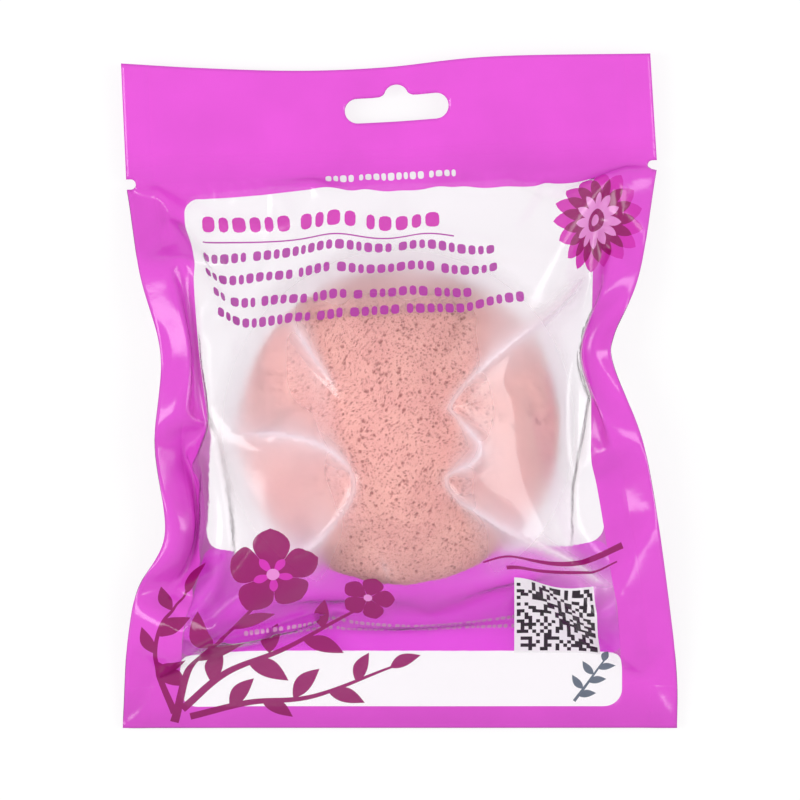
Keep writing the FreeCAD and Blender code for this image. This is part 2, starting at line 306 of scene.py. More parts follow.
def settle(webs, pattern, cells, steps, rounds, first_share, damping):
    """Let the webs find their shape over the sponge as it grows to its full height."""
    before = webs.copy()
    stiffness = np.where(pattern.seam, SEAM_STIFFNESS, FILM_STIFFNESS)
    side = np.array([1.0, -1.0])[:, None, None, None]
    draw = OUTLINE_PULL * np.array([1.0, 1.0, HEIGHT_HOLD])
    for step in range(steps):
        share = min(1.0, first_share + (1.0 - first_share) * (step + 1) / (GROW_SHARE * steps))
        moved = damping * (webs - before)
        before = webs.copy()
        webs += moved + side * AIR / cells * surface_normals(webs)
        webs[..., 2] -= WEIGHT / cells
        for _ in range(rounds):
            hold_shape(webs, pattern, SQUEEZE_PUSH)
            unbend(webs, stiffness)
            webs[:, pattern.seam] = webs[:, pattern.seam].mean(axis=0)
            out_of_sponge(webs[0], share)
            squeeze = np.where(pattern.seam, 0.0, np.maximum(webs[1, ..., 2] - webs[0, ..., 2], 0.0))
            webs[0, ..., 2] += 0.5 * squeeze
            webs[1, ..., 2] -= 0.5 * squeeze
            back = webs[1]
            near = np.hypot(back[..., 0] - SPONGE_CENTRE[0], back[..., 1] - SPONGE_CENTRE[1]) < SPONGE_RADIUS
            back[..., 2] = np.where(near, np.minimum(back[..., 2], TABLE_GAP), back[..., 2])
            webs[..., 2] = np.maximum(webs[..., 2], TABLE_GAP)
            webs[:, :, 0] += draw * (pattern.left - webs[:, :, 0])
            webs[:, :, -1] += draw * (pattern.right - webs[:, :, -1])
            webs[:, 0] += draw * (pattern.bottom - webs[:, 0])
            seam_pull = SEAM_HOLD * OUTLINE_PULL * (pattern.seam_x - webs[..., 0])
            webs[..., 0] += np.where(pattern.side_seam, seam_pull, 0.0)
            webs[:, -1] = pattern.tear


def refine(webs, pattern):
    """The same webs on the finer grid of a pattern."""
    for axis, count in ((1, pattern.rows), (2, pattern.columns)):
        place = np.linspace(0, webs.shape[axis] - 1, count)
        low = np.minimum(place.astype(int), webs.shape[axis] - 2)
        part = np.expand_dims(place - low, tuple(k for k in range(4) if k != axis))
        webs = np.take(webs, low, axis) * (1 - part) + np.take(webs, low + 1, axis) * part
    return webs


def line_distance(points, way):
    """Distance of points to a chain of straight runs."""
    best = np.full(points.shape[:-1], np.inf)
    for start, end in zip(np.array(way[:-1]), np.array(way[1:])):
        run = end - start
        t = np.clip((points - start) @ run / (run @ run), 0, 1)
        best = np.minimum(best, norm(points - start - t[..., None] * run, axis=-1))
    return best


# Least way inwards from point to point where a fold is straightened
FOLD_LEAN = 0.1


def unfold(webs):
    """Straighten folds that turn the film over beside the seams: from each edge inwards, x only goes in."""
    half = webs.shape[2] // 2
    lean = FOLD_LEAN * np.arange(half)
    right = webs[:, :, :half:-1, 0] + lean
    webs[:, :, :half:-1, 0] = np.minimum.accumulate(right, axis=2) - lean
    left = webs[:, :, :half, 0] - lean
    webs[:, :, :half, 0] = np.maximum.accumulate(left, axis=2) + lean


# Least room between the webs, how near they are where one can have come through the other, and the rounds
# in which they are moved apart, with the most per round
WEB_ROOM = 0.05
NEAR_WEBS = 1.5
PART_ROUNDS = 6
PART_STEP = 0.3


def part_webs(webs, pattern):
    """Move the webs apart where one has come through the other beside the seams."""
    held = pattern.seam | (pattern.v > TEAR_V - ROW_STEP)
    for _ in range(PART_ROUNDS):
        normal = surface_normals(webs).sum(axis=0)
        normal /= norm(normal, axis=-1, keepdims=True) + 1e-12
        between = webs[1] - webs[0]
        free = ~held & (norm(between, axis=-1) < NEAR_WEBS)
        depth = np.einsum("ijk,ijk->ij", between, normal) + WEB_ROOM
        push = np.where(free, np.clip(depth, 0.0, PART_STEP), 0.0)[..., None] * normal
        webs[0] += 0.5 * push
        webs[1] -= 0.5 * push
    webs[1, ..., 2] = np.maximum(webs[1, ..., 2], TABLE_GAP)


# Grid cells per coarse cell, steps, rounds per step, sponge share at the start, damping
LEVELS = ((1, 160, 20, 0.1, 0.9), (2, 80, 14, 1.0, 0.85), (4, 50, 14, 1.0, 0.85))
# Height of the webs' first puff and of its seeded unevenness
START_PUFF = 4.0
START_NOISE = 0.3


def film_webs():
    """Front and back web as grids of points, settled from coarse to fine, with the header's rows on top."""
    rng = np.random.default_rng(7)
    pattern = Pattern(1)
    share = (pattern.u / FILM_WIDTH + 0.5)[..., None]
    flat = pattern.left[:, None] * (1 - share) + pattern.right[:, None] * share
    puff = np.cos(pattern.u / FILM_WIDTH * np.pi) * np.sin(pattern.v / TEAR_V * np.pi)
    webs = np.array([flat, flat])
    webs[0, ..., 2] += START_PUFF * puff + START_NOISE * rng.standard_normal(puff.shape)
    webs[1, ..., 2] -= START_PUFF * puff
    levels = LEVELS
    for cells, *pace in levels:
        if cells > 1:
            pattern = Pattern(cells)
            webs = refine(webs, pattern)
            for fold in FOLDS:
                away = line_distance(webs[0, ..., :2], fold)
                webs[0, ..., 2] += FOLD_LIFT * np.exp(-(away / FOLD_WIDTH) ** 2)
        settle(webs, pattern, cells, *pace)
    unfold(webs)
    part_webs(webs, pattern)
    top = smooth_line(TOP_EDGE, pattern.columns)
    up = np.linspace(0, 1, HEADER_CELLS * cells + 1)[1:, None, None]
    header = pattern.tear + (top - pattern.tear) * up
    return np.concatenate([webs, np.array([header, header])], axis=1)


WEBS = film_webs()


# Outlines on the flat film: u runs to the right from the middle, v up from the bottom edge


def turned(points, angle, place):
    c, s = math.cos(angle), math.sin(angle)
    return np.array(points) @ np.array([[c, s], [-s, c]]) + np.array(place)


def arc(place, radius, start, end, count):
    angles = np.radians(np.linspace(start, end, count))
    return np.stack([np.cos(angles), np.sin(angles)], -1) * radius + np.array(place)


def disc(place, radius, count=32):
    return arc(place, radius, 0, 360, count + 1)[:-1]


def round_box(low, high, radius, count=9):
    corners = ((high[0], high[1], 0), (low[0], high[1], 90), (low[0], low[1], 180), (high[0], low[1], 270))
    loop = []
    for u, v, start in corners:
        inward = np.array([1 if u == low[0] else -1, 1 if v == low[1] else -1]) * radius
        loop.append(arc(np.array([u, v]) + inward, radius, start, start + 90, count))
    return np.vstack(loop)


def blade(place, angle, length, t, half, middle):
    """Outline at shares t of a length, with half its width on each side of a middle line."""
    upper = np.stack([t * length, middle + half], -1)
    lower = np.stack([t * length, middle - half], -1)[-2:0:-1]
    return turned(np.vstack([upper, lower]), math.radians(angle), place)


def leaf(place, angle, length, width, bend=0.0):
    """Pointed oval that starts at a place and points along an angle in degrees."""
    t = np.linspace(0, 1, 13)
    half = 0.5 * width * np.sin(np.pi * t ** 0.85)
    return blade(place, angle, length, t, half, bend * length * np.sin(np.pi * t))


def petal(place, angle, length, width):
    """Rounded petal, narrow at its start."""
    t = np.linspace(0, 1, 15)
    half = 0.5 * width * np.sin(np.pi * t ** 1.6) ** 0.75
    return blade(place, angle, length, t, half, 0.0)


def stroke(points, start_width, end_width):
    """Ribbon along a smooth line, with its width going from one end's to the other's."""
    middle = smooth_line(points)
    along = np.gradient(middle, axis=0)
    side = np.stack([-along[:, 1], along[:, 0]], -1)
    side /= norm(side, axis=1, keepdims=True)
    half = 0.5 * np.linspace(start_width, end_width, len(middle))[:, None]
    return np.vstack([middle + half * side, (middle - half * side)[::-1]])


def flower(place, petals, first, length, width):
    return [petal(place, first + 360.0 / petals * k, length, width) for k in range(petals)]


# Blocks' widths, corners and gaps as shares of their height
BLOCK_WIDTHS = (0.78, 0.62, 0.86, 0.7, 0.55, 0.8)
BLOCK_CORNER = 0.28
BLOCK_GAP = 0.26
GROUP_GAP = 0.45


def block_row(left, v, groups, height, rise=0.0, bow=0.0):
    """Row of plain rounded blocks in groups, each group a count of blocks."""
    loops = []
    u = left
    whole = height * sum(groups)
    k = 0
    for count in groups:
        for _ in range(count):
            width = height * BLOCK_WIDTHS[k % len(BLOCK_WIDTHS)]
            share = (u - left) / whole
            low = (u, v + rise * share + bow * math.sin(math.pi * share) - height / 2)
            loops.append(round_box(low, (u + width, low[1] + height), BLOCK_CORNER * height, 3))
            u += width + BLOCK_GAP * height
            k += 1
        u += GROUP_GAP * height
    return loops


def hang_slot():
    """Long slot with round ends and a round bump above its middle, on the flat film."""
    radius = SLOT_WIDTH / 2
    half = SLOT_LENGTH / 2 - radius
    meet = math.sqrt(SLOT_BUMP_RADIUS ** 2 - (radius - SLOT_BUMP_REACH) ** 2)
    fillet = np.array([meet, radius]) + np.array(SLOT_FILLET)
    bump_start = math.degrees(math.asin((radius - SLOT_BUMP_REACH) / SLOT_BUMP_RADIUS)) + SLOT_FILLET_TURN
    loop = np.vstack([
        arc((half, 0), radius, -90, 90, 15),
        fillet,
        arc((0, SLOT_BUMP_REACH), SLOT_BUMP_RADIUS, bump_start, 180 - bump_start, 17),
        fillet[::-1] * np.array([-1.0, 1.0]),
        arc((-half, 0), radius, 90, 270, 15),
    ])
    return loop + np.array([SLOT_U, FILM_LENGTH - SLOT_BELOW_TOP])


def film_border():
    """Edge of a web with a notch at each end of the tear line."""
    half = FILM_WIDTH / 2
    radius = NOTCH_WIDTH / 2
    right = [(half, 0.0), (half, TEAR_V - radius)]
    right += arc((half - NOTCH_DEPTH + radius, TEAR_V), radius, 270, 90, 11).tolist()
    right += [(half, TEAR_V + radius), (half, FILM_LENGTH)]
    left = [(-u, v) for u, v in right[::-1]]
    return np.array(right + left)


# Print: each ink's colour by display values, and the share of the film that it hides
INK = {"magenta": (238, 84, 224, 0.95), "back": (238, 84, 224, 0.95), "dark": (158, 10, 108, 0.97),
       "bright": (222, 44, 190, 0.95), "purple": (188, 52, 174, 0.93), "pale": (244, 150, 226, 0.95),
       "white": (250, 246, 250, 0.95), "black": (28, 24, 30, 0.98), "slate": (95, 105, 125, 0.95),
       # The band's ink is the magenta painted lighter, as painted light against the shade it lies in behind
       # the front film
       "band_painted_lighter": (255, 58, 248, 1.0), "clear": (250, 246, 250, 0.0)}
# Share of the light from behind that ink lets through, and the inks that let through more
INK_LIGHT = 0.12
LIGHTER_INK = {"back": 0.5, "band_painted_lighter": 0.75}

WINDOW_LOW = (-55.5, 5.5)
WINDOW_HIGH = (56.0, 146.5)
WINDOW_CORNER = 4.5
ROSETTE = (55.5, 133.5)
CHEQUER_LOW = np.array([29.5, 20.0])
CHEQUER_SIDE = 20.5
CHEQUER_MARGIN = 0.6
CHEQUER_CELLS = 21
BAND_LOW = 19.5
BAND_HIGH = 52.5
BAND_CORNER = 3.0


def front_print():
    """Outlines of the front print, each with its ink, in the order they are laid down."""
    loops = [(round_box(WINDOW_LOW, WINDOW_HIGH, WINDOW_CORNER), "clear")]

    def lay(ink, *shapes):
        loops.extend((shape, ink) for shape in shapes)

    # Rows of plain blocks, large and small, with a rule between them
    lay("bright", *block_row(-51.0, 139.6, (6, 4, 5), 4.1, -2.4))
    lay("purple", stroke([(-51.0, 135.0), (-20.0, 134.0), (16.0, 133.2)], 0.4, 0.4))
    rows = ((-51.5, 130.4, (5, 15, 10), -1.0, 1.2), (-52.0, 124.8, (10, 4, 10, 6), -1.0, 0.8),
            (-50.0, 119.4, (2, 3, 5, 4, 1, 6, 4), -1.6, -0.8), (-48.5, 113.8, (11, 3, 5, 12), 0.8, -1.6))
    for left, v, groups, rise, bow in rows:
        lay("purple", *block_row(left, v, groups, 2.6, rise, bow))
    lay("white", *block_row(-17.5, 150.0, (4, 9, 4), 2.0, 0.6))

    # Daisy at the upper right
    lay("bright", *flower(ROSETTE, 16, 0.0, 13.2, 4.9))
    lay("dark", *flower(ROSETTE, 16, 11.25, 10.8, 3.0))
    lay("pale", *flower(ROSETTE, 12, 5.0, 7.4, 2.4))
    lay("dark", disc(ROSETTE, 3.0))
    lay("pale", disc(ROSETTE, 1.5, 20))

    # Spray of leafy stems with two blossoms at the lower left
    stems = (
        ([(-57.0, 1.5), (-53.0, 16.0), (-44.0, 30.0), (-33.5, 42.0)], 2.2, 0.8),
        ([(-55.0, 5.0), (-44.0, 14.0), (-28.0, 21.0), (-10.0, 33.0)], 2.0, 0.7),
        ([(-53.0, 3.0), (-38.0, 6.5), (-22.0, 8.0), (-2.0, 15.5)], 1.8, 0.6),
        ([(-57.0, 4.0), (-61.5, 16.0), (-62.0, 28.0), (-57.5, 41.0)], 1.8, 0.6),
    )
    for points, start_width, end_width in stems:
        lay("dark", stroke(points, start_width, end_width))
    leaves = (
        (-54.5, 11.0, 132, 11.5, 5.2), (-51.5, 18.5, 24, 13.5, 5.6), (-48.0, 24.5, 114, 12.5, 5.4),
        (-43.0, 31.5, 12, 11.5, 4.8), (-47.5, 11.5, 76, 10.5, 4.6), (-38.5, 17.0, -26, 11.5, 4.8),
        (-33.0, 19.2, 80, 11.0, 4.8), (-24.5, 23.0, -20, 11.0, 4.6), (-19.5, 26.5, 86, 9.0, 3.8),
        (-43.0, 5.3, 50, 9.5, 4.0), (-35.0, 7.0, -28, 9.0, 3.6), (-27.0, 7.6, 48, 10.0, 4.2),
        (-18.0, 9.0, -16, 9.5, 3.8), (-11.0, 11.5, 68, 8.5, 3.6), (-61.0, 14.0, 46, 9.5, 4.2),
        (-62.2, 22.0, 124, 8.0, 3.8), (-62.0, 27.5, 40, 10.0, 4.2), (-60.0, 35.0, 130, 7.5, 3.4),
        (-57.5, 40.5, 64, 9.5, 3.8), (-2.5, 15.3, 24, 8.5, 3.4),
    )
    for u, v, angle, length, width in leaves:
        lay("dark", leaf((u, v), angle, length, width, 0.06))
    lay("dark", *flower((-32.0, 47.0), 5, 18.0, 12.0, 9.4))
    lay("bright", *flower((-32.0, 47.0), 5, 54.0, 5.2, 2.2))
    lay("pale", disc((-32.0, 47.0), 1.6, 20))
    lay("dark", *flower((-8.0, 36.5), 5, 0.0, 6.8, 5.4))
    lay("pale", disc((-8.0, 36.5), 1.1, 16))

    # Two sweeping strokes at the lower right
    lay("dark", stroke([(21.0, 46.0), (32.0, 48.2), (46.0, 47.2), (60.0, 50.0)], 0.5, 1.7))
    lay("dark", stroke([(27.0, 44.0), (38.0, 45.4), (50.0, 44.6), (58.0, 46.2)], 1.2, 0.4))

    # Grey sprig under the chequered square
    lay("slate", stroke([(44.0, 6.8), (47.5, 11.5), (51.5, 17.5)], 0.8, 0.4))
    for u, v, angle in ((45.0, 8.2, 8), (46.3, 9.9, 128), (47.6, 11.7, 10), (48.9, 13.6, 128),
                        (50.0, 15.2, 14), (51.3, 17.2, 70)):
        lay("slate", leaf((u, v), angle, 4.6, 1.9, 0.05))

    # White ground of the chequered square
    margin = CHEQUER_MARGIN
    far = CHEQUER_SIDE + margin
    lay("white", CHEQUER_LOW + np.array([(-margin, -margin), (far, -margin), (far, far), (-margin, far)]))
    return loops


def chequer_cells():
    """Chequered block of random cells, which spells nothing: runs of dark cells, row by row."""
    rng = np.random.default_rng(21)
    dark = rng.random((CHEQUER_CELLS, CHEQUER_CELLS)) < 0.5
    size = CHEQUER_SIDE / CHEQUER_CELLS
    loops = []
    for row in range(CHEQUER_CELLS):
        start = None
        for column in range(CHEQUER_CELLS + 1):
            filled = column < CHEQUER_CELLS and dark[row, column]
            if filled and start is None:
                start = column
            if not filled and start is not None:
                low = CHEQUER_LOW + np.array([start, row]) * size
                high = CHEQUER_LOW + np.array([column, row + 1]) * size
                loops.append((np.array([low, (high[0], low[1]), high, (low[0], high[1])]), "black"))
                start = None
    return loops


def back_print():
    """Back print: clear above and below a coloured band that holds rows of plain blocks."""
    # The band's ink is the magenta painted lighter, as painted light
    half = FILM_WIDTH / 2
    loops = [(np.array([(-half, 0.0), (half, 0.0), (half, TEAR_V), (-half, TEAR_V)]), "back"),
             (round_box(WINDOW_LOW, (WINDOW_HIGH[0], BAND_LOW), BAND_CORNER), "clear"),
             (round_box((WINDOW_LOW[0], BAND_HIGH), WINDOW_HIGH, WINDOW_CORNER), "clear"),
             (round_box((WINDOW_LOW[0], BAND_LOW), (WINDOW_HIGH[0], BAND_HIGH), BAND_CORNER), "band_painted_lighter")]
    for v, groups in ((26.0, (3, 8, 5, 9, 2, 7, 4, 8, 6, 3)), (29.6, (5, 2, 7, 4, 8, 3, 9, 5, 7, 4))):
        loops.extend((block, "pale") for block in block_row(-40.0, v, groups, 1.4))
    return loops


# Film meshes: flat triangles that follow every outline, laid on the settled webs as thin closed shells


def inside(points, loop):
    """Which points lie inside a closed loop."""
    found = np.zeros(len(points), bool)
    low, high = loop.min(axis=0), loop.max(axis=0)
    near = np.flatnonzero(((points >= low) & (points <= high)).all(axis=1))
    x, y = points[near].T
    odd = np.zeros(len(near), bool)
    for (ax, ay), (bx, by) in zip(loop, np.roll(loop, -1, axis=0)):
        if ay != by:
            crosses = (ay > y) != (by > y)
            odd ^= crosses & (x < (bx - ax) * (y - ay) / (by - ay) + ax)
    found[near] = odd
    return found


def short_edges(loop, spacing):
    """The same closed loop with its long edges divided."""
    points = []
    for start, end in zip(loop, np.roll(loop, -1, axis=0)):
        count = max(1, math.ceil(norm(end - start) / spacing - 0.2))
        points.extend(start + (end - start) * k / count for k in range(count))
    return np.array(points)


def flat_triangles(cuts, loops, lines, spacing):
    """Triangles of the flat web between its border and cuts, with an edge along every outline and line."""
    border = film_border()
    outlines = [short_edges(outline, spacing) for outline in [border] + cuts + loops]
    points = []
    edges = []
    for outline in outlines:
        first = len(points)
        count = len(outline)
        points.extend(outline.tolist())
        edges.extend((first + k, first + (k + 1) % count) for k in range(count))
    for way in lines:
        first = len(points)
        points.extend(way.tolist())
        edges.extend((first + k, first + k + 1) for k in range(len(way) - 1))
    tree = KDTree(len(points))
    for index, (u, v) in enumerate(points):
        tree.insert((u, v, 0.0), index)
    tree.balance()
    columns = np.arange(-FILM_WIDTH / 2 + spacing, FILM_WIDTH / 2, spacing)
    rows = np.arange(spacing, FILM_LENGTH, spacing)
    for v in rows:
        for u in columns:
            if tree.find((u, v, 0.0))[2] > 0.45 * spacing:
                points.append((u, v))
    made = delaunay_2d_cdt([Vector(point) for point in points], edges, [], 0, 1e-5)
    flat = np.array([tuple(point) for point in made[0]])
    faces = np.array([face for face in made[2] if len(face) == 3])
    middle = flat[faces].mean(axis=1)
    keep = inside(middle, border)
    for cut in cuts:
        keep &= ~inside(middle, cut)
    a, b, c = (flat[faces[:, k]] for k in range(3))
    area = (b - a)[:, 0] * (c - a)[:, 1] - (b - a)[:, 1] * (c - a)[:, 0]
    faces = np.where((area > 0)[:, None], faces, faces[:, ::-1])
    keep &= np.abs(area) > 1e-7
    return flat, faces[keep]


def on_web(grid, flat):
    """Smooth lookup of a web's grid at flat points."""
    rows, columns = grid.shape[:2]
    place = [flat[:, 1] / FILM_LENGTH * (rows - 1), (flat[:, 0] / FILM_WIDTH + 0.5) * (columns - 1)]
    weights = []
    picks = []
    for spot, count in zip(place, (rows, columns)):
        low = np.clip(np.floor(spot).astype(int), 0, count - 2)
        t = np.clip(spot - low, 0, 1)
        cubic = np.stack([-t + 2 * t ** 2 - t ** 3, 2 - 5 * t ** 2 + 3 * t ** 3, t + 4 * t ** 2 - 3 * t ** 3,
                          t ** 3 - t ** 2], -1) * 0.5
        weights.append(cubic)
        picks.append(np.clip(low[:, None] + np.arange(-1, 3), 0, count - 1))
    found = grid[picks[0][:, :, None], picks[1][:, None, :]]
    return np.einsum("nijk,ni,nj->nk", found, weights[0], weights[1])


def crease_height(flat, lines):
    """Height of the sharp creases at flat points, tapered towards each crease's ends."""
    height = np.zeros(len(flat))
    for way in lines:
        away = line_distance(flat, way)
        to_end = np.minimum(norm(flat - way[0], axis=1), norm(flat - way[-1], axis=1))
        taper = np.clip(to_end / CREASE_TAPER, 0, 1)
        height = np.maximum(height, CREASE_HEIGHT * taper * np.exp(-away / CREASE_WIDTH))
    return height


def film_look(sheet, flat, lines):
    """Shares of frost and milkiness at a web's points: clear on the sponge, white along creases from stress
    whitening and a painted highlight, with painted glare on the slopes beside them.
    """
    half = CLING_HALF + CLING_FLARE * np.abs(sheet[:, 1] - CLING_WAIST)
    aside = np.maximum(np.abs(sheet[:, 0] - SPONGE_CENTRE[0]) - half, 0.0)
    above = np.maximum(sheet[:, 1] - CLING_TOP, 0.0)
    gap = sponge_gap(sheet) + SLACK_SHARE * np.hypot(aside, above)
    frost = np.clip((gap - TOUCH_GAP) / (FROST_GAP - TOUCH_GAP), 0, 1)
    beyond = norm(sheet[:, :2] - SPONGE_CENTRE[:2], axis=1) - SPONGE_RADIUS
    far = np.clip((beyond - CLEAR_START) / (CLEAR_END - CLEAR_START), 0, 1)
    far *= far * (3 - 2 * far)
    crease = crease_height(flat, lines) / CREASE_HEIGHT
    # Painted glare on the slopes beside the creases, outside the patch where the film clings
    slope_glare = np.clip(aside / GLARE_REACH, 0, 1) * crease ** 0.4
    top = np.clip(above / TOP_REACH, 0, 1)
    milk_and_glare = MILK_CLEAR + (MILK_FROST * frost + MILK_TOP * top) * (1 - FAR_MILK * far)
    # Creases add stress whitening together with a painted highlight, and the slopes a painted glare
    milk_and_glare += CREASE_WHITENING_AND_HIGHLIGHT * crease ** 2 + PAINTED_SLOPE_GLARE * slope_glare
    return frost * (1 - FAR_FROST * far), np.clip(milk_and_glare, 0, 1)


def new_mesh(name, points, faces):
    """Smooth mesh of points in millimetres."""
    mesh = bpy.data.meshes.new(name)
    mesh.from_pydata((points * MM).tolist(), [], faces)
    mesh.polygons.foreach_set("use_smooth", np.ones(len(mesh.polygons), bool))
    return mesh


def add_values(mesh, label, domain, values):
    """Attribute of a mesh for its material: a colour where the values have channels."""
    kind, field = ("FLOAT", "value") if values.ndim == 1 else ("FLOAT_COLOR", "color")
    data = mesh.attributes.new(label, kind, domain).data
    data.foreach_set(field, values.astype(np.float32).ravel())


def placed(data):
    """Object of a mesh, lamp or camera, linked into the scene."""
    thing = bpy.data.objects.new(data.name, data)
    SCENE.collection.objects.link(thing)
    return thing


def film_piece(name, web, side, loops, lines, spacing):
    """Closed shell of a web: outer faces carry the print, inner faces are plain film."""
    cuts = [hang_slot()]
    flat, faces = flat_triangles(cuts, [loop for loop, _ in loops], lines, spacing)
    middle = flat[faces].mean(axis=1)
    ink = np.zeros((len(faces), 4))
    cover = np.zeros(len(faces))
    for loop, name_of_ink in [(film_border(), "magenta")] + loops:
        hit = inside(middle, loop)
        *tint, cover[hit] = INK[name_of_ink]
        ink[hit] = (*colour(*tint)[:3], LIGHTER_INK.get(name_of_ink, INK_LIGHT))
    used, faces = np.unique(faces, return_inverse=True)
    faces = faces.reshape(-1, 3)
    flat = flat[used]
    normal = on_web(surface_normals(web), flat)
    normal *= side / norm(normal, axis=1, keepdims=True)
    sheet = on_web(web, flat) + (WEB_OFFSET + crease_height(flat, lines))[:, None] * normal
    count = len(sheet)
    outer = faces if side > 0 else faces[:, ::-1]
    inner = outer[:, ::-1] + count
    runs = np.concatenate([outer[:, [0, 1]], outer[:, [1, 2]], outer[:, [2, 0]]])
    codes = {tuple(run) for run in runs.tolist()}
    rim = sorted((a, b) for a, b in codes if (b, a) not in codes)
    walls = [(b, a, a + count, b + count) for a, b in rim]
    points = np.vstack([sheet + 0.5 * FILM * normal, sheet - 0.5 * FILM * normal])
    points[:, 2] = np.maximum(points[:, 2], TABLE_TOUCH)
    mesh = new_mesh(name, points, outer.tolist() + inner.tolist() + walls)
    everywhere = np.concatenate([np.arange(len(faces))] * 2 + [np.zeros(len(walls), int)])
    add_values(mesh, "ink", "FACE", np.clip(ink[everywhere], 0, 1))
    add_values(mesh, "cover", "FACE", cover[everywhere])
    for label, values in zip(("frost", "milk_and_glare"), film_look(sheet, flat, lines)):
        add_values(mesh, label, "POINT", np.tile(values, 2))
    uv = mesh.uv_layers.new(name="flat")
    corner = np.zeros(len(mesh.loops), np.int32)
    mesh.loops.foreach_get("vertex_index", corner)
    uv.data.foreach_set("uv", (flat[corner % count] / FILM_LENGTH).astype(np.float32).ravel())
    slots = np.concatenate([np.zeros(len(faces)), np.ones(len(faces)), np.zeros(len(walls))])
    mesh.polygons.foreach_set("material_index", slots.astype(np.int32))
    mesh.update()
    return placed(mesh)


FILM_SPACING = 1.0
CREASE_LINES = [smooth_line(points) for points in CREASES]
front_web = film_piece("front_web", WEBS[0], 1.0, front_print() + chequer_cells(), CREASE_LINES, FILM_SPACING)
back_web = film_piece("back_web", WEBS[1], -1.0, back_print(), [], FILM_SPACING)


# Sponge: a dome on a square grid bent to a disc, with pores pressed in, and a base of rings

DOME_CELLS = 280
BASE_RINGS = 14
PORE_COUNT = 7500
PORE_SMALL = 0.2
PORE_LARGE = 0.55
PORE_DEPTH = 0.75
SKIN_INSET = 0.28
PATH_POINTS = 400
# Slight lumps: how many waves, their shortest and longest length, each one's height and the most in all
LUMP_COUNT = 26
LUMP_SHORT = 6.0
LUMP_LONG = 26.0
LUMP_HEIGHT = 0.055
LUMP_MOST = 0.25
# Height over which pores and lumps fade towards the base, and the share that stays
BASE_FADE = 3.0
BASE_SHARE = 0.15


def dome_height(r):
    """Height of the sponge's upper surface at a distance from its axis."""
    rim, crown, shoulder, low, inner = sponge_profile()
    on_crown = r <= inner * crown / math.hypot(inner, rim - low)
    crown_z = low + np.sqrt(np.maximum(crown ** 2 - r ** 2, 0.0))
    shoulder_z = rim + np.sqrt(np.maximum(shoulder ** 2 - (r - inner) ** 2, 0.0))
    return np.where(on_crown, crown_z, shoulder_z)


def dome_path(count):
    """Evenly spaced radius and height from the crown's top to the rim."""
    angle = np.linspace(0, math.pi / 2, 2000)
    r = SPONGE_RADIUS * np.sin(angle)
    z = dome_height(r)
    r = np.append(r, SPONGE_RADIUS)
    z = np.append(z, SPONGE_BASE + SPONGE_EDGE)
    run = np.concatenate([[0], np.cumsum(np.hypot(np.diff(r), np.diff(z)))])
    even = np.linspace(0, run[-1], count)
    return np.interp(even, run, r), np.interp(even, run, z)


